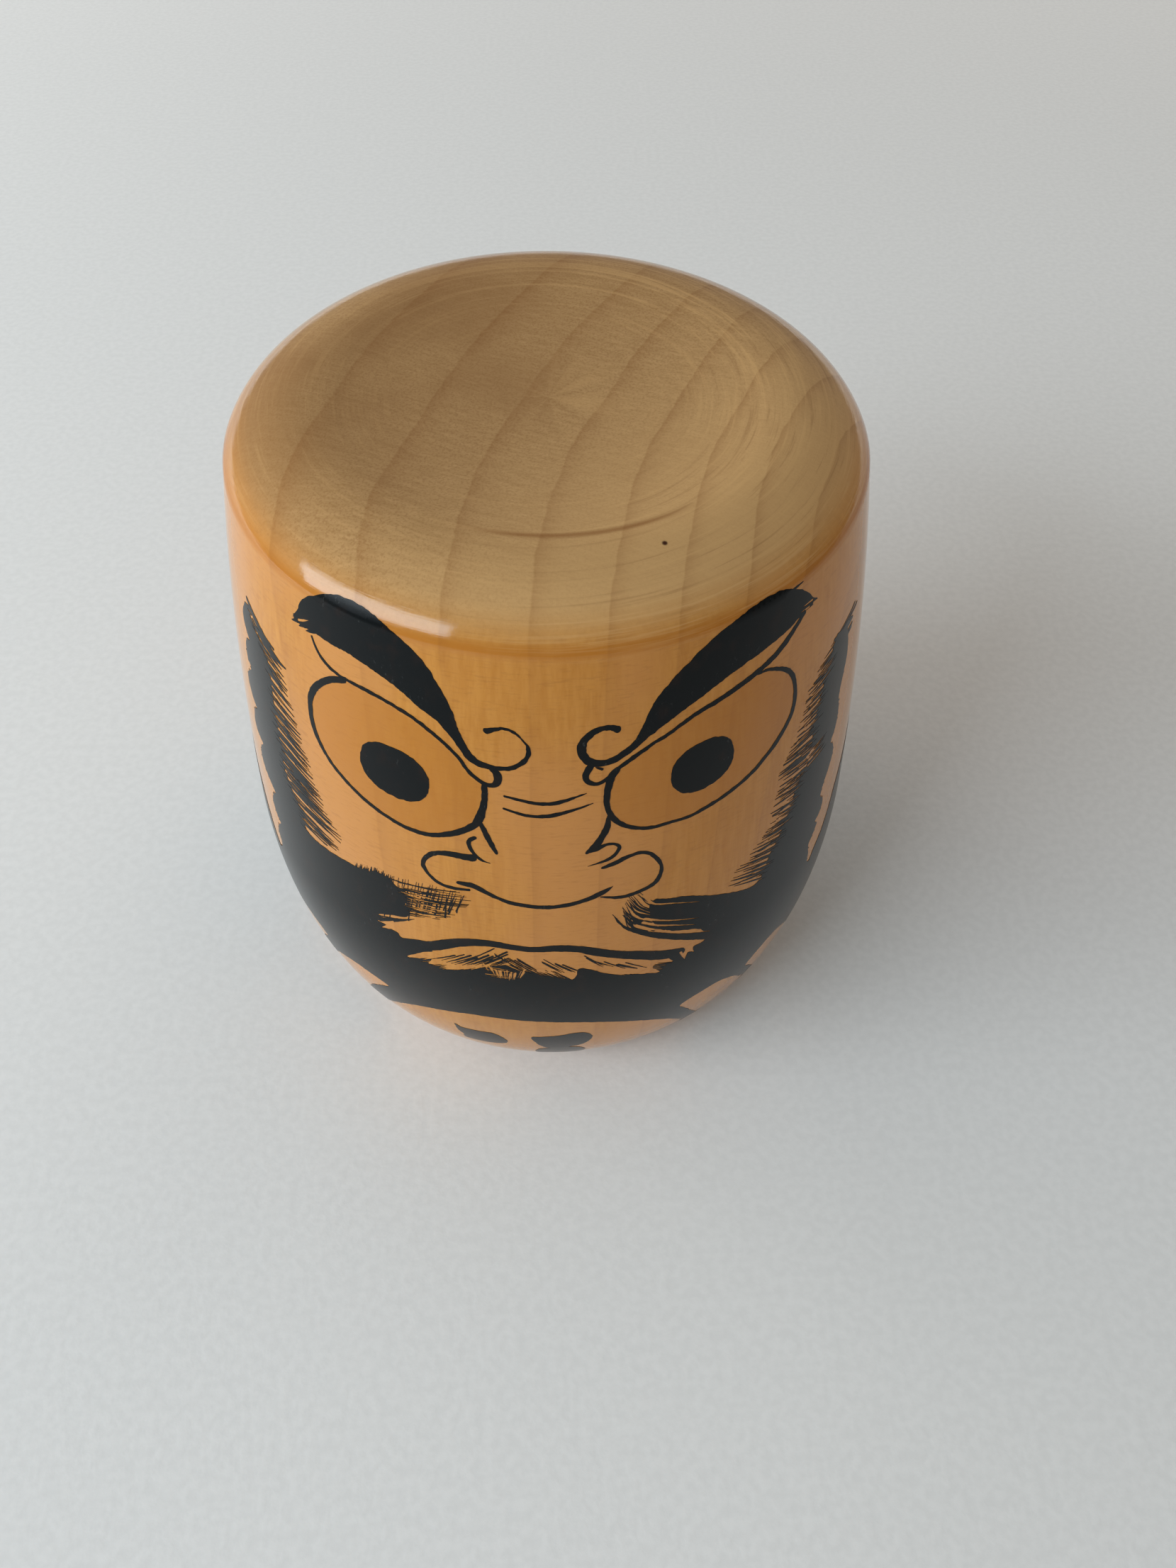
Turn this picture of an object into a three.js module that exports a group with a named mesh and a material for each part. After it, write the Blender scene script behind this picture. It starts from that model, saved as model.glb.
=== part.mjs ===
// A turned wooden daruma doll: a barrel-shaped block, hollowed from beneath, and the disc that closes its base.
// Units are millimetres. Z is up, the doll stands on Z = 0 with its axis on Z, and its face looks towards -Y.
import * as THREE from 'three';

// Outside of the block.
const HEIGHT = 98.5;
const SIDE_RADII = [37.7, 44.4, 44.9, 47.3]; // Bezier radii of the side before rounding, from the top to the base
const SHOULDER = { width: 10, height: 5.5, fullHeight: 7 }; // rounds the side over to the top, from a soft edge
const FOOT = { width: 14.7, height: 40, fullHeight: 40 };   // draws the side in to the base, without an edge
const DISH = { radius: 26, depth: 1.2 };     // shallow hollow turned into the top

// Relief bore, open at the base, and the disc glued into its mouth.
const BORE = { radius: 25, top: 78, domeHeight: 20 };
const PLUG = { radius: 28, thickness: 8, chamfer: 0.6 };
const GLUE_GAP = 0.3;

// Fineness of the faceted surfaces.
const FACETS_ROUND = 72;
const SHOULDER_STEPS = 7;
const SIDE_STEPS = 16;
const DISH_STEPS = 4;
const DOME_STEPS = 6;

const BODY_FINISH = { color: 0xd9974f, roughness: 0.35, metalness: 0 };
const PLUG_FINISH = { color: 0xd8bd8e, roughness: 0.65, metalness: 0 };

// How far a rounding pulls the side in, at a distance from the face that it ends on. It is a quarter of an ellipse
// of full height, or only its upper part, which meets the side in an edge.
function roundingAt(distance, { width, height, fullHeight }) {
  const drop = (depth) => Math.sqrt(1 - (1 - depth / fullHeight) ** 2);
  const edge = drop(height);
  return width * (1 - drop(Math.min(distance, height)) / edge);
}

// Radius of the block's side at a height above the base.
function sideRadius(height) {
  const down = 1 - height / HEIGHT;
  const up = 1 - down;
  const [top, upper, lower, base] = SIDE_RADII;
  const barrel = up ** 3 * top + 3 * up * up * down * upper + 3 * up * down * down * lower + down ** 3 * base;
  return barrel - roundingAt(HEIGHT - height, SHOULDER) - roundingAt(height, FOOT);
}

// Heights of the side from the base to the top. They crowd together where the rounding is tight.
function sideHeights() {
  const shoulderStart = HEIGHT - SHOULDER.height;
  const heights = [];
  for (let step = 0; step < SIDE_STEPS; step += 1) {
    heights.push(shoulderStart * (1 - Math.cos((step / SIDE_STEPS) * Math.PI / 2)));
  }
  for (let step = 0; step <= SHOULDER_STEPS; step += 1) {
    heights.push(shoulderStart + SHOULDER.height * Math.sin((step / SHOULDER_STEPS) * Math.PI / 2));
  }
  return heights;
}

function dishOutline() {
  const points = [];
  for (let step = DISH_STEPS; step >= 0; step -= 1) {
    const share = step / DISH_STEPS;
    points.push(new THREE.Vector2(DISH.radius * share, HEIGHT - DISH.depth * (1 - share * share)));
  }
  return points;
}

// The bore from the middle of its domed end down to the rebate that the plug sits in.
function boreOutline() {
  const points = [];
  for (let step = 0; step <= DOME_STEPS; step += 1) {
    const angle = (step / DOME_STEPS) * Math.PI / 2;
    const height = BORE.top - BORE.domeHeight * (1 - Math.cos(angle));
    points.push(new THREE.Vector2(BORE.radius * Math.sin(angle), height));
  }
  const rebateTop = PLUG.thickness + GLUE_GAP;
  const rebateRadius = PLUG.radius + GLUE_GAP;
  points.push(new THREE.Vector2(BORE.radius, rebateTop));
  points.push(new THREE.Vector2(rebateRadius, rebateTop));
  points.push(new THREE.Vector2(rebateRadius, 0));
  return points;
}

// Turns an outline, given as radius and height, about the Z axis.
function turned(name, outline, finish) {
  const geometry = new THREE.LatheGeometry(outline, FACETS_ROUND);
  geometry.rotateX(Math.PI / 2);
  const mesh = new THREE.Mesh(geometry, new THREE.MeshStandardMaterial(finish));
  mesh.name = name;
  return mesh;
}

function turnedBody() {
  const side = sideHeights().map((height) => new THREE.Vector2(sideRadius(height), height));
  return turned('turned_body', [...boreOutline(), ...side, ...dishOutline()], BODY_FINISH);
}

function basePlug() {
  const { radius, thickness, chamfer } = PLUG;
  const outline = [
    new THREE.Vector2(0, 0),
    new THREE.Vector2(radius - chamfer, 0),
    new THREE.Vector2(radius, chamfer),
    new THREE.Vector2(radius, thickness - chamfer),
    new THREE.Vector2(radius - chamfer, thickness),
    new THREE.Vector2(0, thickness),
  ];
  return turned('base_plug', outline, PLUG_FINISH);
}

const doll = new THREE.Group();
doll.name = 'daruma_doll';
doll.add(turnedBody(), basePlug());

export default doll;
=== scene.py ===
# A turned wooden daruma doll with a brushed ink face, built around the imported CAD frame.
#
# Blender's lengths are metres. The turned shape and the painting are laid out in millimetres. The painting
# lies on the unrolled side: `across` runs round the widest girth from the middle of the face, to the
# viewer's right, and `height` runs up from the base.
import math
import random

import bpy
import numpy as np
from mathutils import Matrix, Vector
from mathutils.geometry import delaunay_2d_cdt


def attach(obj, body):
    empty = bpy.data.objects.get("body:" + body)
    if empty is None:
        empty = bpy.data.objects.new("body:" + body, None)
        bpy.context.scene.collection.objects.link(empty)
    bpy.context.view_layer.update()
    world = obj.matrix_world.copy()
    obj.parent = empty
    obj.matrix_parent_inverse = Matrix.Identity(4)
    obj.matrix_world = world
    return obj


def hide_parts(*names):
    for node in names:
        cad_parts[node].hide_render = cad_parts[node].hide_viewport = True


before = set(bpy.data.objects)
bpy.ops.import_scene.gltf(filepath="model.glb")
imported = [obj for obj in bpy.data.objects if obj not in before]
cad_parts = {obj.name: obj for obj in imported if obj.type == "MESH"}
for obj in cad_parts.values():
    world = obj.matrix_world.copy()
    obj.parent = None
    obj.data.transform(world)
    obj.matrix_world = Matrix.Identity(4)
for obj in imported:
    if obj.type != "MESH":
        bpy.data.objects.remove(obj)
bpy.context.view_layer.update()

MM = 0.001

# ---- The turned shape, as in the CAD model ----

HEIGHT = 98.5
GIRTH_RADIUS = 45.0
SIDE_RADII = (37.7, 44.4, 44.9, 47.3)     # a Bezier curve from the top to the base, before it is rounded
SHOULDER = {"width": 10.0, "height": 5.5, "full_height": 7.0}
FOOT = {"width": 14.7, "height": 40.0, "full_height": 40.0}
DISH = {"radius": 26.0, "depth": 1.2}
BORE = {"radius": 25.0, "top": 78.0, "dome_height": 20.0}
PLUG = {"radius": 28.0, "thickness": 8.0, "chamfer": 0.6}
GLUE_GAP = 0.3
RIM_HEIGHT = HEIGHT - SHOULDER["height"]  # the soft edge between the side and the shoulder


def rounding_at(distance, rounding):
    """How far a rounding pulls the side in, at a distance from the face that it ends on."""
    def drop(depth):
        return np.sqrt(np.maximum(1 - (1 - depth / rounding["full_height"]) ** 2, 0))
    reach = np.minimum(distance, rounding["height"])
    return rounding["width"] * (1 - drop(reach) / drop(rounding["height"]))


def side_radius(height):
    """Radius of the doll's side at a height above its base."""
    down = 1 - height / HEIGHT
    up = 1 - down
    top, upper, lower, base = SIDE_RADII
    barrel = up ** 3 * top + 3 * up * up * down * upper + 3 * up * down * down * lower + down ** 3 * base
    return barrel - rounding_at(HEIGHT - height, SHOULDER) - rounding_at(height, FOOT)


def on_side(layout, proud):
    """The points of the side, in metres, at (across, height) places, raised off the wood by `proud`."""
    across, height = layout[:, 0], layout[:, 1]
    step = 0.05
    slope = (side_radius(height + step) - side_radius(height - step)) / (2 * step)
    lean = np.hypot(1, slope)
    radius = side_radius(height) + proud / lean
    angle = across / GIRTH_RADIUS
    points = (radius * np.sin(angle), -radius * np.cos(angle), height - proud * slope / lean)
    return np.stack(points, axis=1) * MM


# ---- Small helpers for objects and node materials ----

def add_object(name, vertices, faces, material):
    mesh = bpy.data.meshes.new(name)
    mesh.from_pydata([tuple(v) for v in vertices], [], [tuple(f) for f in faces])
    mesh.validate()
    mesh.shade_smooth()
    mesh.materials.append(material)
    piece = bpy.data.objects.new(name, mesh)
    bpy.context.scene.collection.objects.link(piece)
    return piece


class Shader:
    """A Principled material and short ways to add nodes to it. Places are in millimetres.
    A value is a number, a tuple or another node's socket."""

    def __init__(self, name, **settings):
        self.material = bpy.data.materials.new(name)
        self.material.use_nodes = True
        self.tree = self.material.node_tree
        self.surface = self.tree.nodes["Principled BSDF"]
        for socket, value in settings.items():
            self.put(self.surface.inputs[socket.replace("_", " ")], value)
        object_place = self.node("TexCoord", "Object")
        self.place = self.vector("SCALE", 0, {0: object_place, "Scale": 1 / MM})

    def put(self, socket, value):
        if isinstance(value, bpy.types.NodeSocket):
            self.tree.links.new(value, socket)
        else:
            socket.default_value = value

    def node(self, kind, output, inputs=None, **settings):
        node = self.tree.nodes.new("ShaderNode" + kind)
        for setting, value in settings.items():
            setattr(node, setting, value)
        for socket, value in (inputs or {}).items():
            self.put(node.inputs[socket], value)
        return node.outputs[output]

    def math(self, operation, *values):
        return self.node("Math", 0, dict(enumerate(values)), operation=operation)

    def times(self, product, *factors):
        for factor in factors:
            product = self.math("MULTIPLY", product, factor)
        return product

    def stretch(self, value, at_0, at_1):
        """Stretch a value that runs from 0 to 1 to run from at_0 to at_1."""
        return self.math("MULTIPLY_ADD", value, at_1 - at_0, at_0)

    def ramp(self, value, low, high):
        """0 below low, 1 above high, smooth between. low above high turns it round."""
        inputs = {"Value": value, "From Min": low, "From Max": high}
        return self.node("MapRange", "Result", inputs, interpolation_type="SMOOTHSTEP")

    def bump_at(self, value, middle, half_width):
        """1 where the value is at the middle, falling smoothly to 0 a half width away."""
        away = self.math("ABSOLUTE", self.math("SUBTRACT", value, middle))
        return self.ramp(away, half_width, 0.0)

    def vector(self, operation, output, inputs):
        return self.node("VectorMath", output, inputs, operation=operation)

    def axis(self, letter):
        return self.node("SeparateXYZ", letter, {0: self.place})

    def plan(self):
        """The shaded place, seen in plan."""
        return self.vector("MULTIPLY", 0, {0: self.place, 1: (1.0, 1.0, 0.0)})

    def radius(self):
        return self.vector("LENGTH", "Value", {0: self.plan()})

    def heading(self):
        """The direction from the doll's axis, in plan."""
        return self.vector("NORMALIZE", 0, {0: self.plan()})

    def distance(self, start, end):
        return self.vector("DISTANCE", "Value", {0: start, 1: end})

    def noise(self, scale, detail=2.0, roughness=0.5, place=None):
        stretched = self.vector("MULTIPLY", 0, {0: self.place if place is None else place, 1: scale})
        inputs = {"Vector": stretched, "Scale": 1.0, "Detail": detail, "Roughness": roughness}
        return self.node("TexNoise", "Fac", inputs)

    def mix(self, factor, first, second):
        return self.node("Mix", 2, {"Factor": factor, 6: first, 7: second}, data_type="RGBA")

    def stain(self, colour, added, where, strength=1.0):
        """A colour with another laid over it as far as `where` says, and at most at the strength."""
        return self.mix(self.times(where, strength), colour, added)

    def finished(self, colour, relief, strength, depth, bumped=("Normal",)):
        """The material, once it has its colour and a relief of a depth in millimetres."""
        inputs = {"Height": relief, "Strength": strength, "Distance": depth * MM}
        bump = self.node("Bump", "Normal", inputs)
        self.put(self.surface.inputs["Base Color"], colour)
        for socket in bumped:
            self.put(self.surface.inputs[socket], bump)
        return self.material


# ---- Materials ----

SIDE_LIGHT = (0.51, 0.222, 0.038, 1)      # colours are linear
SIDE_DARK = (0.44, 0.176, 0.024, 1)
SIDE_ROSY = (0.50, 0.215, 0.052, 1)
TOP_LIGHT = (0.53, 0.320, 0.138, 1)
TOP_PALE = (0.63, 0.380, 0.158, 1)
TOP_DARK = (0.40, 0.228, 0.090, 1)
TOP_BROWN = (0.30, 0.150, 0.054, 1)
AMBER = (0.41, 0.150, 0.020, 1)
EYE_AMBER = (0.39, 0.137, 0.008, 1)
LINE_BROWN = (0.22, 0.075, 0.014, 1)
SPECK_BROWN = (0.05, 0.015, 0.006, 1)
PLUG_LIGHT = (0.55, 0.39, 0.21, 1)
PLUG_DARK = (0.38, 0.25, 0.13, 1)
INK_BLACK = (0.0022, 0.0035, 0.0042, 1)
INK_DRY = (0.035, 0.038, 0.038, 1)
INK_THIN = (0.014, 0.007, 0.005, 1)
PAPER_LIGHT = (0.78, 0.785, 0.78, 1)
PAPER_DARK = (0.74, 0.745, 0.74, 1)

PITH = (110.0, -45.0, 0.0)     # where the growth rings are centred, in plan
FIRST_RING = 90.7              # radius of one growth line; the spacing of the others grows from it
RING_SPACING = 6.3
RING_GROWTH = 0.1
YEARS_INSIDE = 20.0            # keeps the count of years positive inside the first ring

TOP_FADE = (91.0, 96.0)        # heights between which the top's look fades in
END_GRAIN_FADE = (40.2, 34.5)  # and radii
POOL_HEIGHT = RIM_HEIGHT + 0.3    # the middle of the pooled finish's band
POOL_HALF_WIDTH = 1.2
SMUDGE_MIDDLE = (-4.0, 3.0, 0.0)
CRESCENT_MIDDLE = (3.5, -26.2, 0.0)
CRESCENT_RADIUS = DISH["radius"] + 0.4
SPECKS = (((12.0, -27.5, HEIGHT), 0.45), ((14.6, -36.7, 90.0), 0.25))    # middle and radius
EYE_TINT = "eye_tint"          # the body's attribute that is 1 inside the eyes


def growth_lines(shader):
    """Thin dark lines where each year's wood ends. They darken slowly away from the pith, then stop short."""
    wander = shader.stretch(shader.noise((0.05, 0.05, 0.012)), -1.2, 1.2)
    fine_wander = shader.stretch(shader.noise((0.5, 0.5, 0.04), detail=1.0), -0.2, 0.2)
    from_pith = shader.math("ADD", shader.distance(shader.plan(), PITH), wander)
    from_pith = shader.math("ADD", from_pith, fine_wander)
    # The spacing grows steadily with the radius, so the count of years is a logarithm of it.
    grown = shader.math("MULTIPLY_ADD", from_pith, RING_GROWTH / RING_SPACING,
                        1 - FIRST_RING * RING_GROWTH / RING_SPACING)
    year = shader.math("DIVIDE", shader.math("LOGARITHM", grown, math.e), RING_GROWTH)
    season = shader.math("FRACT", shader.math("ADD", year, YEARS_INSIDE))
    late = shader.math("POWER", season, 7.0)
    ended = shader.ramp(season, 1.0, 0.965)
    return shader.times(late, ended)


def side_grain(shader, fibres, clouds):
    """Long grain: fibres up the side, clouds of colour and short flecks across."""
    flecks = shader.noise((0.55, 0.55, 3.2), detail=3.0, roughness=0.6)
    wood = shader.mix(shader.ramp(fibres, 0.25, 0.75), SIDE_DARK, SIDE_LIGHT)
    wood = shader.stain(wood, SIDE_ROSY, shader.ramp(clouds, 0.4, 0.65))
    return shader.stain(wood, LINE_BROWN, shader.ramp(flecks, 0.5, 0.72), strength=0.22)


def end_grain(shader, clouds):
    """End grain: fine rays away from the pith, with painted shade that makes it browner at the back left and
    a painted sheen that makes it paler at the front right.
    """
    across, depth = shader.axis("X"), shader.axis("Y")
    pith_turn = {"Vector": shader.place, "Angle": math.atan2(PITH[1], PITH[0])}
    from_pith = shader.node("VectorRotate", 0, pith_turn, rotation_type="Z_AXIS", invert=True)
    rays = shader.noise((0.35, 2.2, 0.35), detail=4.0, roughness=0.65, place=from_pith)
    pores = shader.noise((3.4, 3.4, 0.1), detail=3.0, roughness=0.65)
    wood = shader.mix(shader.ramp(rays, 0.15, 0.85), TOP_DARK, TOP_LIGHT)
    wood = shader.stain(wood, TOP_BROWN, shader.ramp(pores, 0.46, 0.64), strength=0.5)
    # Painted shade: the top is browner towards the back left, where the sheen of the lathe marks is missing.
    back_left_painted_shade = shader.ramp(shader.math("MULTIPLY_ADD", depth, -0.8, across), 12.0, -38.0)
    cloudy = shader.ramp(clouds, 0.2, 0.6)
    wood = shader.stain(wood, TOP_BROWN, shader.times(back_left_painted_shade, cloudy), strength=0.75)
    # Painted sheen: the top is paler towards the front right, as the sheen of the satin finish makes it.
    front_right_painted_sheen = shader.ramp(shader.math("SUBTRACT", across, depth), 0.0, 50.0)
    return shader.stain(wood, TOP_PALE, front_right_painted_sheen, strength=0.8)


def turning_noise(shader):
    """Unevenness that is drawn out round the axis, as a lathe tool leaves it."""
    inputs = {"X": shader.times(shader.radius(), 3.0), "Z": shader.axis("Z")}
    outwards = shader.node("CombineXYZ", 0, inputs)
    around = shader.vector("SCALE", 0, {0: shader.heading(), "Scale": 4.0})
    place = shader.vector("ADD", 0, {0: around, 1: outwards})
    return shader.noise((0.5, 0.5, 2.2), detail=4.0, roughness=0.7, place=place)


def turning_marks(shader, wood, turning, on_top):
    """Fine arcs round the top, a fan at its middle that is partly torn grain and partly painted sheen and
    shade, and a brown smudge there.
    """
    across, radius = shader.axis("X"), shader.radius()
    to_the_right = shader.stretch(shader.ramp(across, -20.0, 24.0), 0.3, 1.0)
    outer = shader.times(shader.ramp(radius, 6.0, 30.0), on_top, to_the_right)
    pale_arcs = shader.times(shader.ramp(turning, 0.5, 0.66), outer)
    brown_arcs = shader.times(shader.ramp(turning, 0.46, 0.3), outer)
    wood = shader.stain(wood, TOP_PALE, pale_arcs, strength=0.6)
    wood = shader.stain(wood, TOP_BROWN, brown_arcs, strength=0.45)

    # The fan's paler and browner streaks are torn grain with a painted sheen and painted shade, stronger to
    # the right.
    fan = shader.noise((1.3, 1.3, 0.0), detail=2.5, roughness=0.6, place=shader.heading())
    near_middle = shader.times(shader.ramp(radius, 12.0, 0.0), on_top, shader.ramp(across, -8.0, 6.0))
    pale_fan_painted_sheen = shader.times(shader.ramp(fan, 0.48, 0.62), near_middle)
    brown_fan_painted_shade = shader.times(shader.ramp(fan, 0.5, 0.38), near_middle)
    wood = shader.stain(wood, TOP_PALE, pale_fan_painted_sheen, strength=0.45)
    wood = shader.stain(wood, TOP_BROWN, brown_fan_painted_shade, strength=0.45)

    smudge = shader.ramp(shader.distance(shader.plan(), SMUDGE_MIDDLE), 10.0, 0.0)
    return shader.stain(wood, TOP_BROWN, shader.times(smudge, on_top), strength=0.4)


def tool_marks(shader, wood, on_top):
    """The crescent that the tool left at the dish's rim, and two specks."""
    on_rim = shader.bump_at(shader.radius(), CRESCENT_RADIUS, 0.65)
    near_crescent = shader.ramp(shader.distance(shader.plan(), CRESCENT_MIDDLE), 15.0, 6.0)
    crescent = shader.times(on_rim, near_crescent, on_top)
    wood = shader.stain(wood, LINE_BROWN, crescent, strength=0.6)
    for middle, size in SPECKS:
        speck = shader.ramp(shader.distance(shader.place, middle), size, size * 0.5)
        wood = shader.stain(wood, SPECK_BROWN, speck)
    return wood


def lacquered_wood():
    """End grain on the top and long grain on the side, under a clear satin finish that pools amber on the
    shoulder. Tool marks stand out on the top, fibres a little on the side."""
    shader = Shader("lacquered_wood", Roughness=0.5, Specular_IOR_Level=0.0, Coat_Weight=1.0, Coat_IOR=1.38,
                    Coat_Roughness=0.08)
    height = shader.axis("Z")
    on_top = shader.ramp(height, *TOP_FADE)
    fibres = shader.noise((1.3, 1.3, 0.06), detail=3.0, roughness=0.6)
    clouds = shader.noise((0.05, 0.05, 0.025))
    turning = turning_noise(shader)

    ends = shader.times(shader.ramp(shader.radius(), *END_GRAIN_FADE), on_top)
    wood = shader.mix(ends, side_grain(shader, fibres, clouds), end_grain(shader, clouds))
    wood = shader.stain(wood, AMBER, shader.bump_at(height, POOL_HEIGHT, POOL_HALF_WIDTH), strength=0.85)
    stronger_on_top = shader.stretch(on_top, 0.22, 0.36)
    lines = shader.times(growth_lines(shader), shader.stretch(clouds, 0.5, 1.5), stronger_on_top)
    wood = shader.stain(wood, LINE_BROWN, lines)
    in_eyes = shader.node("Attribute", "Fac", attribute_name=EYE_TINT)
    wood = shader.stain(wood, EYE_AMBER, in_eyes, strength=0.6)
    wood = turning_marks(shader, wood, turning, on_top)
    wood = tool_marks(shader, wood, on_top)

    tool_relief = shader.times(turning, shader.stretch(on_top, 0.1, 0.9))
    relief = shader.math("ADD", tool_relief, shader.times(fibres, 0.3))
    return shader.finished(wood, relief, strength=0.5, depth=0.05, bumped=("Normal", "Coat Normal"))


def brush_ink():
    """Black ink, a little browner where it is thin and greyer where the brush ran dry."""
    shader = Shader("brush_ink", Roughness=0.22, IOR=1.24)
    thin = shader.noise((0.5, 0.5, 0.35))
    dry = shader.noise((2.2, 2.2, 1.1), detail=4.0, roughness=0.75)
    patches = shader.noise((0.16, 0.16, 0.16), detail=1.0)
    colour = shader.stain(INK_BLACK, INK_THIN, shader.ramp(thin, 0.5, 0.8), strength=0.6)
    dry_patches = shader.times(shader.ramp(dry, 0.60, 0.72), shader.ramp(patches, 0.5, 0.62))
    colour = shader.stain(colour, INK_DRY, dry_patches)
    return shader.finished(colour, dry, strength=0.3, depth=0.02)


def bare_wood():
    """The plug's unfinished end grain, with the marks of its turning."""
    shader = Shader("bare_wood", Roughness=0.62)
    pores = shader.noise((2.6, 2.6, 0.1), detail=3.0, roughness=0.65)
    outwards = shader.node("CombineXYZ", 0, {"X": shader.times(shader.radius(), 1.6)})
    turning = shader.noise((1.4, 1.0, 1.0), detail=3.0, place=outwards)
    wood = shader.mix(shader.ramp(pores, 0.35, 0.68), PLUG_DARK, PLUG_LIGHT)
    wood = shader.stain(wood, LINE_BROWN, growth_lines(shader), strength=0.4)
    wood = shader.stain(wood, LINE_BROWN, shader.ramp(turning, 0.55, 0.7), strength=0.2)
    return shader.finished(wood, turning, strength=0.6, depth=0.08)


def paper():
    """Matt paper with a fine tooth."""
    shader = Shader("paper", Roughness=0.75, Specular_IOR_Level=0.3)
    tooth = shader.noise((0.7, 0.7, 0.7), detail=3.0)
    tone = shader.mix(shader.ramp(tooth, 0.3, 0.7), PAPER_DARK, PAPER_LIGHT)
    return shader.finished(tone, tooth, strength=0.25, depth=0.15)


# ---- Brush marks: closed outlines in the unrolled layout ----

SAMPLE = 0.3            # spacing of an outline's points
FINEST_LINE = 0.06
CAP_TURNS = (60, 30, 0, -30, -60)    # the points of a stroke's round end, in degrees
TINY = 1e-6             # stands in for a length of 0 that is divided by

FILM_PROUD = 0.04       # how far the ink stands off the wood
FILM_BURIED = 0.06      # how far its underside lies in the wood
FILM_GRID = 0.9         # spacing of the points that bend a film round the wood
GRID_SHIFT = 0.01       # keeps those points off the outlines' own
SAME_POINT = 1e-4       # points nearer than this become one
SLIVER = 1e-7           # triangles with less than half this area are left out
POINTS_AT_ONCE = 4000   # keeps the winding test's memory small

brush = random.Random(7)


def smooth_path(points, closed=False):
    """Evenly spaced points on a smooth curve through the given ones.
    Columns after the first two follow along."""
    points = np.array(points, float)
    if closed:
        padded = np.vstack([points[-1:], points, points[:2]])
    else:
        padded = np.vstack([2 * points[0] - points[1], points, 2 * points[-1] - points[-2]])
    path = []
    for before, start, end, after in zip(padded, padded[1:], padded[2:], padded[3:]):
        pairs = ((before, start), (start, end), (end, after))
        lead, span, trail = (max(np.linalg.norm((b - a)[:2]), TINY) ** 0.5 for a, b in pairs)
        leaving = end - start + span * ((start - before) / lead - (end - before) / (lead + span))
        arriving = end - start + span * ((after - end) / trail - (after - start) / (span + trail))
        count = max(math.ceil(np.linalg.norm((end - start)[:2]) / SAMPLE), 1)
        for t in np.arange(count) / count:
            path.append((2 * t ** 3 - 3 * t ** 2 + 1) * start + (t ** 3 - 2 * t ** 2 + t) * leaving
                        + (3 * t ** 2 - 2 * t ** 3) * end + (t ** 3 - t ** 2) * arriving)
    if not closed:
        path.append(points[-1])
    return np.array(path)


def roughened(outline, amount):
    """An outline with the small unevenness of a brushed edge."""
    push = np.array([brush.gauss(0, amount) for _ in outline])
    push = (push + np.roll(push, 1)) / 2
    along = np.roll(outline, -1, axis=0) - np.roll(outline, 1, axis=0)
    along /= np.maximum(np.linalg.norm(along, axis=1, keepdims=True), TINY)
    return outline + np.stack([-along[:, 1], along[:, 0]], axis=1) * push[:, None]


def stroke(points, rough=0.035):
    """The outline of a brush stroke through (across, height, width) points, with round ends."""
    path = smooth_path(points)
    middle, half = path[:, :2], np.maximum(path[:, 2:], FINEST_LINE) / 2
    along = np.gradient(middle, axis=0)
    along /= np.maximum(np.linalg.norm(along, axis=1, keepdims=True), TINY)
    sideways = np.stack([-along[:, 1], along[:, 0]], axis=1)

    def cap(index, sign):
        turns = np.radians(CAP_TURNS)[:, None]
        reach = np.cos(turns) * along[index] + np.sin(turns) * sideways[index]
        return middle[index] + sign * reach * half[index]

    left, right = middle + sideways * half, middle - sideways * half
    return roughened(np.vstack([left, cap(-1, 1), right[::-1], cap(0, -1)]), rough)


def patch(points, rough=0.05):
    """The outline of a filled shape through (across, height) points."""
    return roughened(smooth_path(points, closed=True), rough)


def hair(start, end, width, bend=0.0):
    """A thin tapered stroke from its thick root to its tip, bent sideways by a share of its length."""
    start, end = np.array(start, float), np.array(end, float)
    sideways = np.array([start[1] - end[1], end[0] - start[0]])
    middle = (start + end) / 2 + sideways * bend
    return stroke([(*start, width), (*middle, width * 0.8), (*end, width * 0.15)], rough=0.02)


def shifted(line, across, height):
    return [(point[0] + across, point[1] + height) for point in line]


def along_line(line, share):
    """The point at a share of the way along a line through (across, height) points."""
    line = np.array(line, float)
    reach = np.concatenate([[0], np.cumsum(np.linalg.norm(np.diff(line, axis=0), axis=1))])
    return np.array([np.interp(share * reach[-1], reach, line[:, column]) for column in (0, 1)])


def fringe(tips, count, lengths, width, angles, bend=0.0, uneven=0.3, scatter=0.3):
    """Hairs that end unevenly near a line of tips. Lengths and angles, in degrees, are for the line's ends.
    Every hair strays a little in its place, angle, length, width and bend."""
    hairs = []
    for index in range(count):
        share = (index + 0.5 + brush.uniform(-0.35, 0.35)) / count
        length, angle = (ends[0] + (ends[1] - ends[0]) * share for ends in (lengths, angles))
        angle = math.radians(angle + brush.gauss(0, 2.5))
        pointing = np.array([math.cos(angle), math.sin(angle)])
        tip = along_line(tips, share) + pointing * (scatter - uneven * length * brush.random() ** 2)
        root = tip - pointing * length * brush.uniform(0.9, 1.15)
        hairs.append(hair(root, tip, width * brush.uniform(0.6, 1.35), bend * brush.uniform(0.5, 1.5)))
    return hairs


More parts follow.
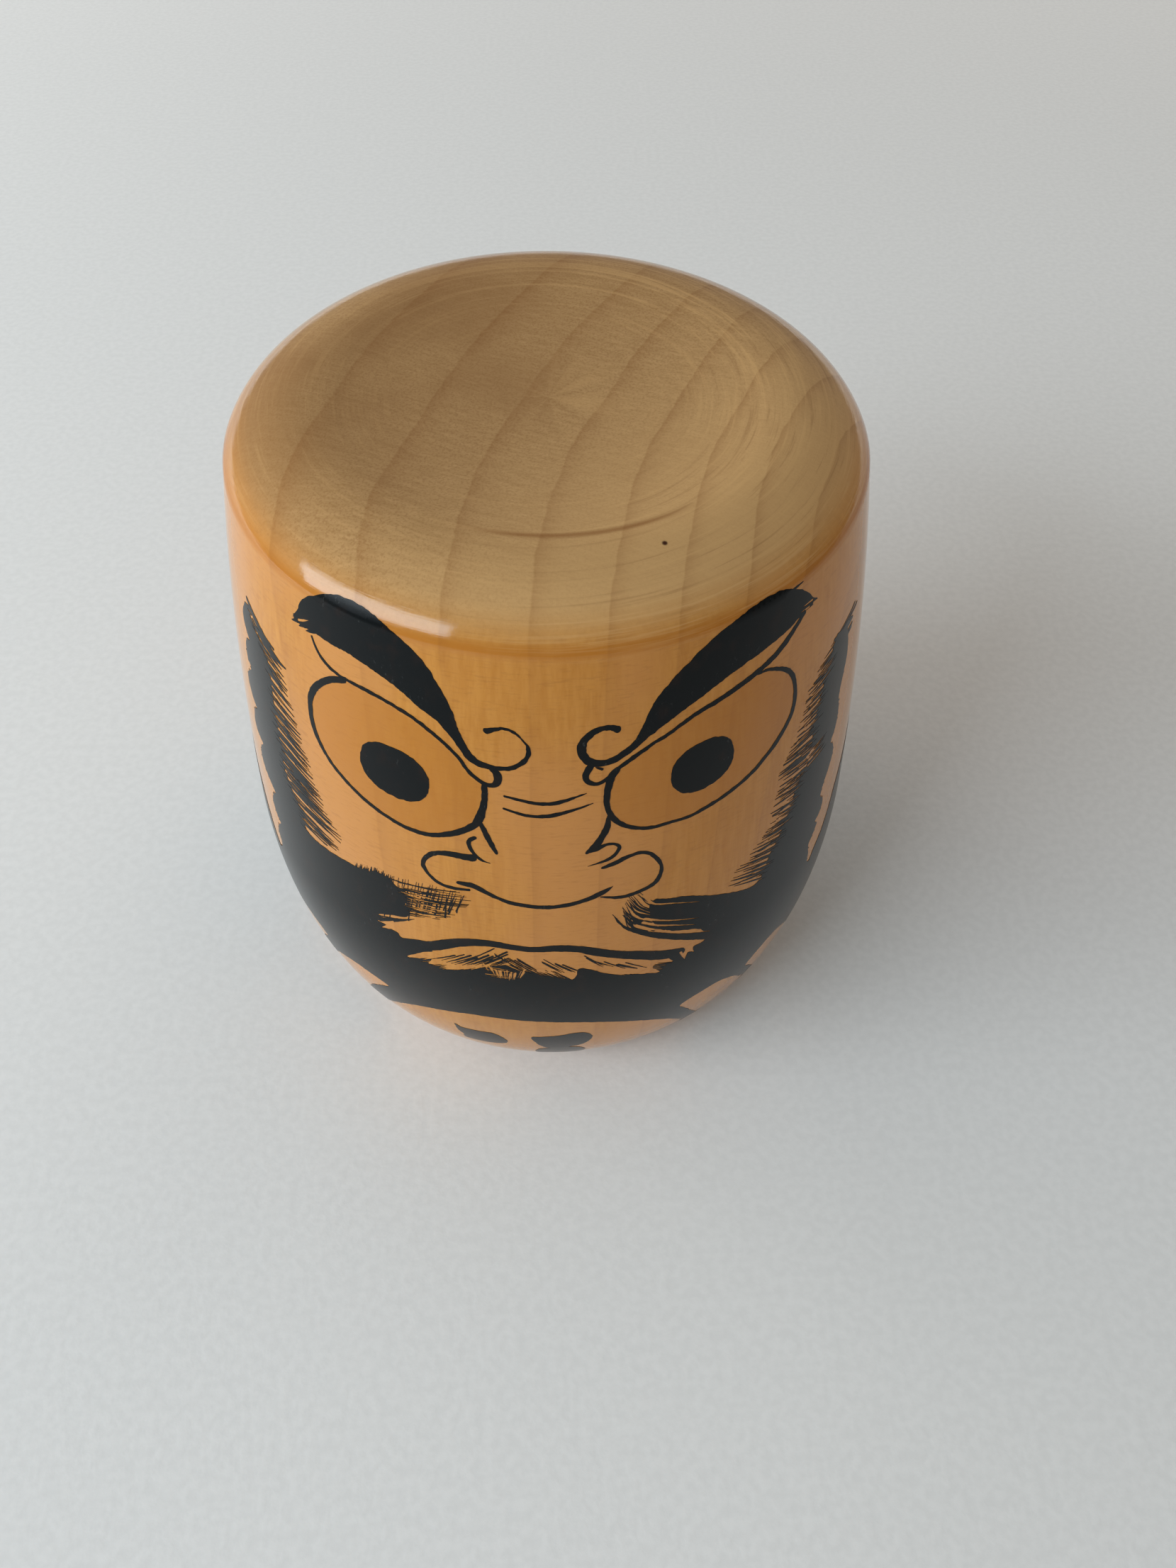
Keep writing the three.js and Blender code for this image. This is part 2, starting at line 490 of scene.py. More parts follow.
def wound_round(points, outline):
    """Which points an outline winds round, counting places where it overlaps itself."""
    found = np.zeros(len(points), bool)
    near = np.flatnonzero(np.all((points >= outline.min(0)) & (points <= outline.max(0)), axis=1))
    x0, y0 = outline.T
    x1, y1 = np.roll(outline, -1, axis=0).T
    for batch in np.array_split(near, max(len(near) // POINTS_AT_ONCE, 1)):
        x, y = points[batch].T[:, :, None]
        beside = (x1 - x0) * (y - y0) - (x - x0) * (y1 - y0)
        rising = ((y0 <= y) & (y1 > y) & (beside > 0)).sum(1)
        falling = ((y0 > y) & (y1 <= y) & (beside < 0)).sum(1)
        found[batch] = rising != falling
    return found


def painted(points, marks):
    """Which points are black once the marks are laid down in order.
    A mark is an outline and whether it is ink."""
    black = np.zeros(len(points), bool)
    for outline, is_ink in marks:
        black[wound_round(points, outline)] = is_ink
    return black


def ink(outlines):
    """Marks that lay ink."""
    return [(outline, True) for outline in outlines]


def bare(outlines):
    """Marks that leave the wood bare."""
    return [(outline, False) for outline in outlines]


def grid_inside(marks, low, high):
    """Evenly spaced points over the ink, so that the film bends with the wood."""
    columns, rows = (np.arange(low[axis], high[axis], FILM_GRID) for axis in (0, 1))
    grid = np.stack(np.meshgrid(columns, rows), -1).reshape(-1, 2) + GRID_SHIFT
    return grid[painted(grid, marks)]


def cut_out(marks):
    """The layout points and triangles that cover everything the marks leave black."""
    outlines = [outline for outline, _ in marks]
    starts = np.cumsum([0] + [len(outline) for outline in outlines]).tolist()
    edges = []
    for start, outline in zip(starts, outlines):
        count = len(outline)
        edges += [(start + i, start + (i + 1) % count) for i in range(count)]
    drawn = np.vstack(outlines)
    low, high = drawn.min(0), drawn.max(0)
    points = np.vstack([drawn, grid_inside(marks, low, high)])
    if low[1] < RIM_HEIGHT < high[1]:
        # The film has an edge along the soft edge of the wood.
        crease = np.arange(low[0], high[0] + SAMPLE, SAMPLE)
        edges += [(len(points) + i, len(points) + i + 1) for i in range(len(crease) - 1)]
        points = np.vstack([points, [(across, RIM_HEIGHT) for across in crease]])

    places, _, triangles, *_ = delaunay_2d_cdt([Vector(point) for point in points], edges, [], 0, SAME_POINT)
    places = np.array([tuple(place) for place in places])
    triangles = np.array([triangle for triangle in triangles if len(triangle) == 3])
    triangles = triangles[painted(places[triangles].mean(1), marks)]
    first, second, third = (places[triangles[:, corner]] for corner in range(3))
    (x1, y1), (x2, y2) = (second - first).T, (third - first).T
    turn = x1 * y2 - y1 * x2
    triangles[turn < 0] = triangles[turn < 0][:, ::-1]
    triangles = triangles[np.abs(turn) > SLIVER]

    used = np.unique(triangles)
    renumber = np.full(len(places), -1)
    renumber[used] = np.arange(len(used))
    return places[used], renumber[triangles].tolist()


def film(name, marks, material):
    """A thin closed film over everything that the marks leave black, wrapped round the doll's side."""
    places, triangles = cut_out(marks)
    count = len(places)
    vertices = np.vstack([on_side(places, FILM_PROUD), on_side(places, -FILM_BURIED)])
    directed = {pair for a, b, c in triangles for pair in ((a, b), (b, c), (c, a))}
    rim = sorted((a, b) for a, b in directed if (b, a) not in directed)
    faces = triangles + [(c + count, b + count, a + count) for a, b, c in triangles]
    faces += [(b, a, a + count, b + count) for a, b in rim]
    piece = add_object(name, vertices, faces, material)
    sharp = {frozenset(edge) for edge in rim} | {frozenset((a + count, b + count)) for a, b in rim}
    for edge in piece.data.edges:
        edge.use_edge_sharp = frozenset(edge.vertices) in sharp
    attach(piece, "root")
    return piece


# ---- The painting ----
# Strokes are (across, height, width) points. Outlines are (across, height) points. Hairs are a root, a tip
# and the root's width.

BROW_LEFT = [
    (-35.2, 88.7, 0.8), (-34.0, 89.2, 2.4), (-32.1, 90.4, 4.4), (-29.3, 91.1, 5.8), (-25.7, 91.3, 6.3),
    (-21.7, 90.5, 6.5), (-18.0, 88.9, 6.0), (-15.2, 86.3, 4.5), (-13.1, 84.0, 2.7), (-11.8, 81.8, 1.4),
    (-9.6, 78.5, 1.0), (-6.4, 77.7, 0.6), (-4.6, 78.1, 0.6), (-3.2, 79.3, 0.6), (-2.8, 80.6, 0.6),
    (-3.4, 81.9, 0.2), (-4.7, 83.2, 0.3), (-5.9, 83.5, 0.4), (-7.9, 83.0, 0.8)]
BROW_RIGHT = [
    (37.2, 89.3, 0.9), (35.4, 90.0, 2.8), (33.0, 90.4, 4.9), (29.9, 90.6, 6.1), (22.5, 89.4, 6.3),
    (16.3, 86.3, 4.9), (13.9, 84.5, 3.8), (10.9, 81.2, 1.3), (9.8, 80.1, 1.0), (6.6, 78.4, 0.9),
    (4.4, 78.9, 1.1), (3.6, 80.1, 1.1), (3.6, 81.4, 1.1), (4.6, 82.7, 0.9), (6.1, 83.4, 0.7),
    (7.3, 83.3, 0.8), (7.9, 83.0, 0.9)]
BROW_LEFT_TIPS = [
    ((-34.0, 88.8), (-35.9, 88.0), 0.8), ((-33.6, 89.4), (-35.6, 88.6), 0.7),
    ((-32.8, 88.9), (-34.5, 87.9), 0.7), ((-31.6, 88.6), (-33.2, 87.9), 0.6)]
BROW_LEFT_GAPS = [((-34.6, 88.6), (-32.7, 89.5), 0.35)]
BROW_RIGHT_TIPS = [
    ((35.6, 89.9), (38.3, 89.0), 0.9), ((35.2, 89.2), (37.4, 88.7), 0.7),
    ((34.0, 89.0), (35.7, 88.4), 0.8), ((32.4, 92.7), (35.2, 92.9), 0.4)]
BROW_RIGHT_GAPS = [((37.3, 89.4), (35.2, 89.5), 0.3), ((36.6, 88.8), (34.8, 89.0), 0.3)]

LID_LEFT = [
    (-32.2, 87.6, 0.3), (-31.2, 86.0, 0.4), (-29.9, 85.1, 0.5), (-28.1, 84.5, 0.4), (-23.5, 84.2, 0.5),
    (-21.0, 83.8, 0.5), (-16.8, 82.5, 0.5), (-12.0, 79.1, 0.5), (-9.9, 76.3, 0.5), (-8.0, 75.0, 0.6),
    (-7.0, 75.2, 0.8), (-6.6, 76.1, 1.0), (-6.9, 77.1, 0.9), (-7.3, 77.5, 0.7)]
EYE_LEFT = [
    (-27.0, 84.1, 0.8), (-29.1, 83.2, 0.9), (-31.0, 81.7, 0.9), (-32.5, 79.8, 1.0), (-33.3, 77.7, 0.9),
    (-32.9, 73.5, 0.8), (-30.8, 70.2, 0.6), (-28.7, 68.5, 0.6), (-24.3, 66.1, 0.6), (-19.7, 64.7, 0.6),
    (-17.7, 64.5, 0.7), (-15.6, 64.7, 0.7), (-12.5, 66.0, 0.9), (-9.8, 68.1, 1.0), (-9.1, 69.4, 1.1),
    (-8.4, 72.5, 0.8), (-8.3, 75.0, 0.7)]
LID_RIGHT = [
    (35.6, 88.6, 0.6), (31.5, 86.2, 0.9), (29.3, 85.3, 0.8), (22.0, 83.5, 0.7), (17.9, 82.5, 0.6),
    (14.3, 80.8, 0.5), (12.4, 80.0, 0.5), (7.8, 77.1, 0.6), (6.6, 75.9, 0.5), (5.4, 75.3, 0.5),
    (4.4, 75.7, 0.7), (4.0, 76.5, 0.8), (4.7, 78.3, 0.9)]
LID_RIGHT_TIP = ((6.0, 77.5), (5.2, 77.9), 0.4)
EYE_RIGHT = [
    (27.2, 84.4, 0.3), (29.3, 84.0, 0.4), (32.9, 81.7, 0.7), (34.2, 78.6, 0.7), (33.8, 74.8, 0.8),
    (31.1, 71.8, 0.8), (29.0, 70.4, 0.7), (27.0, 69.2, 0.7), (22.4, 67.6, 0.6), (20.2, 67.1, 0.6),
    (17.9, 66.6, 0.5), (15.2, 66.6, 0.5), (12.4, 66.6, 0.6), (10.4, 67.1, 0.6), (8.8, 68.0, 0.7),
    (7.5, 69.4, 0.8), (6.8, 71.1, 0.7), (6.6, 72.7, 0.8), (7.2, 76.1, 1.0), (7.9, 77.1, 0.8)]
PUPILS = {      # centre, half axes and tilt in degrees
    "left": ((-20.3, 73.3), (4.9, 4.0), -8),
    "right": ((19.3, 74.3), (4.5, 3.8), 10),
}

WRINKLES = [
    [(-5.9, 73.5, 0.3), (-1.8, 72.6, 0.5), (0.4, 72.7, 0.6), (4.1, 74.0, 0.1)],
    [(-6.0, 71.5, 0.3), (-3.6, 70.7, 0.4), (-1.8, 70.5, 0.5), (0.4, 70.8, 0.6), (4.9, 72.3, 0.1)],
]
NOSE_SIDES = [
    [(-8.9, 68.4, 0.6), (-8.3, 66.7, 0.8), (-7.7, 65.1, 0.7), (-7.1, 63.7, 0.4)],
    [(6.9, 69.8, 0.5), (6.6, 67.8, 0.9), (5.9, 66.2, 0.9), (5.1, 64.8, 1.1), (4.2, 64.0, 0.5)],
]
NOSE_CURLS = [
    [(-9.8, 65.9, 0.5), (-10.5, 65.3, 0.6), (-10.6, 64.4, 0.6), (-10.0, 63.0, 0.5), (-9.1, 62.1, 0.4),
     (-8.0, 61.7, 0.1)],
    [(4.6, 64.2, 0.6), (5.4, 64.4, 0.6), (6.5, 65.0, 0.5), (7.6, 65.0, 0.4), (8.3, 64.3, 0.5),
     (7.8, 63.1, 0.5), (6.8, 62.3, 0.5), (4.3, 61.5, 0.1)],
]
NOSTRILS = [
    [(-10.3, 62.2, 1.3), (-11.3, 62.1, 1.1), (-12.9, 62.1, 1.0), (-14.5, 61.8, 0.8), (-15.9, 61.0, 0.7),
     (-17.0, 58.7, 0.6), (-15.7, 56.4, 0.5), (-14.3, 55.7, 0.5), (-12.7, 55.6, 0.5), (-10.9, 55.9, 0.4)],
    [(6.2, 60.9, 0.4), (7.3, 61.3, 0.7), (10.4, 62.5, 0.6), (11.8, 62.3, 0.6), (12.9, 61.3, 0.6),
     (14.0, 58.7, 0.5), (13.2, 56.1, 0.7), (10.0, 54.8, 0.6), (8.4, 54.7, 0.6), (6.0, 55.3, 0.2)],
]
NOSE_BOTTOM = [
    (-12.3, 56.9, 0.5), (-11.2, 56.9, 0.9), (-10.2, 56.8, 0.9), (-7.3, 55.2, 0.6), (-5.2, 54.4, 0.7),
    (-0.9, 53.9, 0.7), (3.2, 54.7, 0.7), (6.3, 56.2, 0.8), (7.5, 57.1, 0.1)]
MOUTH = [
    (-21.2, 40.4, 0.6), (-19.0, 40.9, 1.6), (-17.0, 41.4, 1.9), (-13.0, 44.0, 1.7), (-9.0, 45.2, 1.4),
    (-3.0, 44.8, 1.1), (0.5, 45.1, 1.4), (3.5, 44.6, 1.4), (5.0, 43.9, 1.6), (9.0, 42.1, 1.6),
    (11.0, 41.3, 1.8), (15.0, 39.5, 2.0), (17.4, 38.8, 1.8)]

# The whiskers and the black robe are one mass. Its outer edge, its inner edge round the cheeks and mouth,
# and the arch of the belly are brushed over or cut out of it in turn.
SIDEBURN_LEFT_OUTSIDE = [
    (-48.8, 82.3), (-49.8, 81.3), (-50.5, 79.5), (-49.8, 77.8), (-48.4, 76.5), (-49.8, 76.2),
    (-50.6, 74.0), (-50.3, 72.4), (-49.2, 71.7), (-51.4, 69.0), (-51.2, 67.2), (-50.1, 65.7),
    (-48.8, 64.8), (-50.0, 64.0), (-50.9, 60.4), (-50.1, 59.3), (-48.4, 58.8), (-49.6, 57.2),
    (-50.1, 54.6), (-49.3, 53.0), (-46.2, 50.8), (-47.0, 50.0), (-48.1, 47.5), (-47.5, 45.5),
    (-46.2, 44.3), (-47.2, 43.0), (-48.1, 40.5), (-47.5, 38.5), (-49.0, 36.0)]
SIDEBURN_LEFT_INSIDE = [
    (-47.0, 81.1), (-42.9, 78.0), (-42.2, 72.0), (-41.5, 64.0), (-41.3, 60.0), (-38.0, 54.0),
    (-37.7, 51.7), (-36.0, 51.0)]
SIDEBURN_LEFT_TIPS = [
    (-38.4, 80.0), (-38.6, 76.8), (-37.6, 74.2), (-35.8, 68.4), (-34.6, 66.1), (-34.6, 63.8),
    (-33.2, 61.2), (-32.0, 58.6), (-30.2, 56.1), (-30.8, 52.9), (-33.0, 51.9)]
SIDEBURN_RIGHT_OUTSIDE = [
    (44.5, 79.5), (46.8, 79.2), (48.2, 78.2), (48.9, 73.8), (46.9, 68.0), (47.2, 66.0), (47.3, 64.0),
    (46.6, 61.8), (45.6, 60.6), (46.7, 59.0), (47.1, 57.0), (46.2, 55.0), (45.1, 53.5), (44.2, 50.8),
    (45.4, 49.3), (45.0, 47.0), (43.5, 46.0), (44.4, 45.0), (43.6, 43.5), (42.4, 42.0), (42.8, 39.5),
    (42.8, 37.8), (43.5, 36.8)]
SIDEBURN_RIGHT_INSIDE = [
    (43.6, 78.8), (39.2, 68.0), (39.4, 66.0), (38.4, 62.0), (36.6, 60.0), (34.4, 54.0), (32.0, 50.0),
    (30.0, 45.6)]
SIDEBURN_RIGHT_TIPS = [
    (41.5, 79.2), (37.4, 75.8), (36.9, 73.2), (35.6, 70.4), (32.2, 65.0), (32.8, 63.2), (31.4, 58.4),
    (30.8, 55.4), (25.3, 50.9), (24.6, 48.6)]
TEMPLE_LEFT = [
    [(-48.3, 83.4, 0.5), (-45.8, 82.1, 1.0), (-43.4, 81.2, 0.9), (-40.8, 80.8, 0.3)],
    [(-46.6, 81.4, 0.3), (-44.6, 80.4, 0.6), (-41.8, 79.7, 0.7), (-38.2, 79.6, 0.3)],
]
MOUSTACHE_LEFT = [
    (-33.0, 51.2), (-28.4, 51.8), (-26.8, 52.0), (-26.2, 52.6), (-25.4, 52.4), (-24.9, 53.0),
    (-23.4, 53.3), (-22.3, 52.9), (-21.2, 52.0), (-19.8, 51.6), (-19.4, 50.2), (-20.2, 49.0),
    (-19.7, 47.4), (-20.4, 46.0), (-22.3, 45.2), (-24.8, 43.6)]
# The light skin round the mouth ends in tips where the brush left it bare: the lip's at the left, then the
# chin's from the left to the right, then the lip's at the right.
MOUTH_SURROUND = [
    (-24.0, 43.0), (-25.3, 42.0), (-23.8, 42.0), (-24.6, 40.9), (-22.9, 41.6), (-22.0, 41.5),
    (-21.6, 40.8), (-19.8, 41.1), (-18.2, 41.6), (-16.7, 40.5), (-18.7, 38.9), (-20.9, 36.4),
    (-18.9, 37.3), (-17.0, 38.4), (-17.6, 36.8), (-14.3, 38.3), (-15.1, 36.8), (-12.8, 37.7),
    (-11.2, 38.7), (-5.0, 41.1), (-1.7, 40.2), (-0.1, 39.8), (1.1, 39.0), (2.3, 37.7), (2.9, 38.4),
    (3.3, 40.2), (6.7, 38.7), (14.6, 35.5), (13.5, 37.3), (14.3, 37.8), (16.6, 37.1), (15.8, 38.4),
    (17.6, 38.4), (18.4, 36.6), (18.8, 37.9), (19.7, 37.4), (19.5, 38.7), (21.2, 39.1)]
MOUSTACHE_RIGHT = [
    (20.6, 42.1), (17.4, 43.9), (15.4, 45.0), (13.0, 48.2), (12.7, 50.2), (12.6, 51.8), (13.4, 52.7),
    (14.7, 52.1), (17.5, 51.3), (23.0, 48.3), (30.0, 45.6)]
MOUSTACHE_RIGHT_HAIRS = [
    [(7.6, 51.3, 0.1), (9.2, 48.3, 0.4), (10.8, 46.8, 0.6), (13.0, 45.2, 1.0), (15.5, 43.6, 1.2),
     (18.0, 42.1, 1.3), (21.0, 40.4, 1.5), (23.4, 38.8, 1.5)],
    [(9.0, 50.8, 0.1), (10.4, 48.8, 0.4), (12.4, 47.3, 0.5), (15.0, 45.6, 0.6)],
]
MOUSTACHE_RIGHT_GAPS = [
    [(10.8, 48.0), (12.4, 46.8), (15.2, 44.8), (18.0, 43.0), (22.0, 40.8)],
    [(11.8, 54.0), (13.0, 51.9), (16.0, 50.6), (19.9, 48.8)],
    [(12.0, 49.0), (13.4, 48.2), (16.0, 46.9), (20.0, 45.2)],
    [(11.8, 48.3), (13.6, 47.0), (16.4, 45.6), (19.6, 43.9)],
]
GAP_WIDTHS = (0.55, 0.08)    # at a gap's two ends
BELLY_ARCH = [
    (-31.0, 9.0), (-29.7, 11.8), (-22.0, 20.3), (-14.7, 24.0), (-10.0, 25.1), (5.0, 24.3), (16.5, 18.2),
    (21.2, 12.1), (22.4, 9.1)]
SHOULDER_LEFT = [
    (-52.0, 40.0), (-55.0, 44.0), (-58.0, 47.0), (-64.0, 50.5), (-74.0, 52.5), (-86.0, 51.0),
    (-98.0, 47.0)]
SHOULDER_RIGHT = [
    (45.0, 38.5), (47.0, 40.0), (49.5, 43.0), (51.5, 46.0), (54.0, 48.0), (56.0, 49.5), (62.0, 52.0),
    (72.0, 53.0), (84.0, 51.5), (97.0, 47.5)]
ROBE_HEM = 4.5
ROBE_BACK = 104.0
ROBE_END = [(ROBE_BACK, 34.0), (ROBE_BACK - 3, 20.0), (ROBE_BACK, ROBE_HEM)]
HEM_RIGHT = [(60.0, ROBE_HEM), (24.0, ROBE_HEM)]
HEM_LEFT = [(-32.4, ROBE_HEM), (-60.0, ROBE_HEM)]

PETALS = [
    [(-26.2, 22.9), (-28.5, 20.5), (-31.2, 17.0), (-34.6, 11.0), (-38.0, 9.5), (-41.5, 12.0),
     (-37.9, 19.7), (-31.8, 23.4)],
    [(-39.5, 23.5), (-41.6, 20.4), (-43.4, 17.2), (-45.0, 13.5), (-48.5, 11.5), (-52.5, 13.5),
     (-53.0, 17.5), (-51.0, 21.5), (-47.5, 24.2), (-43.0, 25.0)],
    [(19.4, 21.3), (24.4, 23.1), (27.0, 22.4), (29.5, 20.3), (32.0, 16.8), (34.7, 12.6), (33.5, 9.5),
     (29.5, 8.0), (26.0, 8.6), (24.0, 12.4), (20.6, 18.8)],
    [(32.0, 21.2), (33.8, 23.5), (37.0, 24.8), (40.0, 23.5), (45.4, 16.5), (46.0, 12.5), (43.0, 10.0),
     (39.6, 9.8), (38.3, 11.4), (33.8, 18.5)],
]
BELLY_DABS = [
    [(-15.5, 18.7), (-14.5, 17.9), (-12.0, 18.0), (-9.4, 18.3), (-7.5, 15.3), (-8.3, 13.5), (-14.5, 12.0),
     (-15.0, 12.9), (-14.8, 14.0), (-15.4, 16.0)],
    [(-3.6, 18.7), (-2.2, 18.9), (0.0, 19.4), (4.0, 20.4), (5.6, 18.3), (4.4, 14.6), (0.5, 12.7),
     (-1.5, 13.0)],
    [(-2.6, 11.6), (2.0, 13.1), (4.2, 11.9), (4.9, 9.8), (4.0, 7.6), (1.5, 6.4), (-1.6, 6.6), (-3.2, 7.8)],
]


def pupil(centre, half_axes, tilt):
    """A slightly squarish oval."""
    turns = np.linspace(0, 2 * math.pi, 24, endpoint=False)
    squarish = 0.9
    wide = half_axes[0] * np.sign(np.cos(turns)) * np.abs(np.cos(turns)) ** squarish
    tall = half_axes[1] * np.sign(np.sin(turns)) * np.abs(np.sin(turns)) ** squarish
    lean = math.radians(tilt)
    across = centre[0] + wide * math.cos(lean) - tall * math.sin(lean)
    height = centre[1] + wide * math.sin(lean) + tall * math.cos(lean)
    return patch(np.stack([across, height], axis=1))


def brow_marks(points, tips, gaps):
    """A thick stroke that is split at its outer end."""
    strokes = [stroke(points, rough=0.05)] + [hair(*tip) for tip in tips]
    return ink(strokes) + bare([hair(*gap) for gap in gaps])


def robe_outline():
    """The whiskers, the beard and the robe, down to its hem."""
    left_edge = SHOULDER_LEFT[::-1] + SIDEBURN_LEFT_OUTSIDE[::-1] + SIDEBURN_LEFT_INSIDE + MOUSTACHE_LEFT
    # The right sideburn's last inner point is the moustache's too.
    right_edge = MOUSTACHE_RIGHT + SIDEBURN_RIGHT_INSIDE[-2::-1] + SIDEBURN_RIGHT_OUTSIDE + SHOULDER_RIGHT
    hem = ROBE_END + HEM_RIGHT + BELLY_ARCH[::-1] + HEM_LEFT
    left_end = [(-across, height) for across, height in reversed(ROBE_END)]
    return patch(left_edge + MOUTH_SURROUND + right_edge + hem + left_end)


def sideburn_marks():
    """Hairs over the cheeks, light streaks between them, and ragged outer edges."""
    left = {"lengths": (6.5, 9.8), "angles": (-9, -5), "bend": 0.02}
    right = {"lengths": (7.5, 9.0), "angles": (183, 158), "bend": -0.02}
    left_streaks = shifted(SIDEBURN_LEFT_INSIDE, -1.2, 0)
    right_streaks = shifted(SIDEBURN_RIGHT_INSIDE, 1.6, -0.5)
    marks = ink(fringe(SIDEBURN_LEFT_TIPS, 40, width=0.66, uneven=0.15, **left))
    marks += ink(fringe(SIDEBURN_LEFT_TIPS, 40, width=0.34, uneven=0.5, **left))
    marks += bare(fringe(left_streaks, 36, lengths=(3.5, 3.5), width=0.2, angles=(172, 176), uneven=0.5))
    marks += ink(fringe(SIDEBURN_RIGHT_TIPS, 52, width=0.6, uneven=0.25, **right))
    marks += ink(fringe(SIDEBURN_RIGHT_TIPS, 60, width=0.34, uneven=0.55, **right))
    marks += bare(fringe(right_streaks, 60, lengths=(4.0, 4.0), width=0.2, angles=(2, -20), uneven=0.6))
    marks += bare(fringe([(43.5, 64.5), (43.5, 61.5)], 7, lengths=(4.5, 4.5), width=0.3, angles=(0, -4)))
    marks += ink([stroke(line) for line in TEMPLE_LEFT])
    marks += ink(fringe(SIDEBURN_LEFT_OUTSIDE, 70, lengths=(2.4, 2.4), width=0.5, angles=(186, 196),
                        uneven=0.4, scatter=0.4))
    marks += ink(fringe(SIDEBURN_RIGHT_OUTSIDE, 50, lengths=(1.6, 1.6), width=0.5, angles=(-6, -20),
                        uneven=0.4, scatter=0.35))
    return marks


def moustache_marks():
    """Crossed dry strokes on the left, combed strokes on the right."""
    marks = ink(fringe([(-15.3, 48.2), (-13.4, 49.6), (-12.0, 51.4), (-10.6, 53.6), (-12.4, 55.2)], 32,
                       lengths=(8.4, 8.4), width=0.2, angles=(16, 10), uneven=0.55, scatter=0.1))
    marks += ink(fringe([(-22.2, 54.0), (-18.0, 54.7), (-14.0, 55.1), (-11.4, 54.4)], 28,
                        lengths=(9.0, 3.6), width=0.2, angles=(82, 76), scatter=0.05))
    marks += ink(fringe([(-28.0, 52.3), (-25.0, 53.5), (-21.6, 54.2)], 22,
                        lengths=(2.6, 2.6), width=0.4, angles=(84, 80)))
    marks += bare(fringe([(-19.6, 47.0), (-20.4, 49.6), (-21.4, 52.4)], 16,
                         lengths=(3.6, 3.6), width=0.2, angles=(190, 186), uneven=0.6))
    marks += ink(fringe([(-23.2, 43.4), (-21.6, 44.8), (-19.2, 46.2)], 12,
                        lengths=(3.8, 3.8), width=0.3, angles=(28, 34), uneven=0.4))
    marks += ink(fringe([(9.3, 50.4), (9.0, 52.4), (9.8, 54.2), (11.2, 54.8)], 24,
                        lengths=(6.0, 6.0), width=0.3, angles=(122, 136), bend=0.1, scatter=0.2))
    marks += ink([stroke(line) for line in MOUSTACHE_RIGHT_HAIRS])
    for gap in MOUSTACHE_RIGHT_GAPS:
        widths = np.linspace(*GAP_WIDTHS, len(gap))
        marks += bare([stroke([(*point, width) for point, width in zip(gap, widths)], rough=0.02)])
    return marks


def chin_marks():
    """The mouth, the beard's hairs that cross the light chin, and light streaks in the beard."""
    marks = bare(fringe([(-21.0, 36.6), (-15.0, 36.7), (-10.4, 38.8)], 22,
                        lengths=(4.6, 4.6), width=0.36, angles=(216, 222)))
    marks += ink(fringe([(-17.6, 38.2), (-12.6, 39.0), (-9.0, 40.6)], 9,
                        lengths=(4.6, 4.6), width=0.26, angles=(216, 226)))
    marks += bare(fringe([(-4.0, 39.2), (-0.6, 38.6), (2.8, 37.6)], 17,
                         lengths=(3.6, 3.6), width=0.26, angles=(-38, -44), uneven=0.4))
    marks += ink(fringe([(-5.4, 40.4), (-2.0, 40.0)], 8, lengths=(3.4, 3.0), width=0.18, angles=(-40, -42)))
    marks += ink(fringe([(0.6, 39.6), (3.6, 39.6)], 7, lengths=(3.4, 3.0), width=0.2, angles=(-44, -40)))
    marks += ink(fringe([(-11.8, 39.4), (-7.4, 40.4)], 9,
                        lengths=(3.4, 2.6), width=0.18, angles=(220, 222), uneven=0.4))
    marks += ink([hair((-8.0, 44.2), (-12.2, 40.0), 0.2)])
    marks += bare(fringe([(-8.8, 38.4), (-6.4, 37.0), (-4.4, 38.2)], 16,
                         lengths=(1.8, 1.8), width=0.22, angles=(-70, -110), uneven=0.5))
    marks += bare(fringe([(-4.8, 37.4), (-5.2, 39.8)], 8,
                         lengths=(3.2, 3.2), width=0.18, angles=(4, -4), uneven=0.5))
    marks += bare(fringe([(8.6, 37.4), (14.6, 35.6), (16.8, 37.2)], 20,
                         lengths=(3.6, 3.6), width=0.3, angles=(-30, -24), uneven=0.4))
    marks += ink(fringe([(5.6, 40.4), (9.8, 38.6), (13.6, 37.0)], 7,
                        lengths=(3.4, 3.4), width=0.2, angles=(-46, -34), uneven=0.4))
    marks += ink([stroke(MOUTH, rough=0.03)])
    marks += bare([hair((16.4, 40.6), (20.8, 39.0), 0.4), hair((17.6, 38.6), (18.4, 36.4), 0.4)])
    return marks


def robe_marks():
    """The robe's bare petals and its dry ends at the back."""
    marks = bare([patch(petal) for petal in PETALS])
    for side, angle in ((-1, 180), (1, 0)):
        tips = [(side * (ROBE_BACK + 4), 44.0), (side * (ROBE_BACK + 3), 6.0)]
        marks += ink(fringe(tips, 44, lengths=(13.0, 9.0), width=0.9, angles=(angle, angle),
                            uneven=0.5, scatter=0.8))
    return marks


def whisker_marks():
    """Sideburns, moustache, beard and robe, in the order that the brush would lay them."""
    return ink([robe_outline()]) + sideburn_marks() + moustache_marks() + chin_marks() + robe_marks()


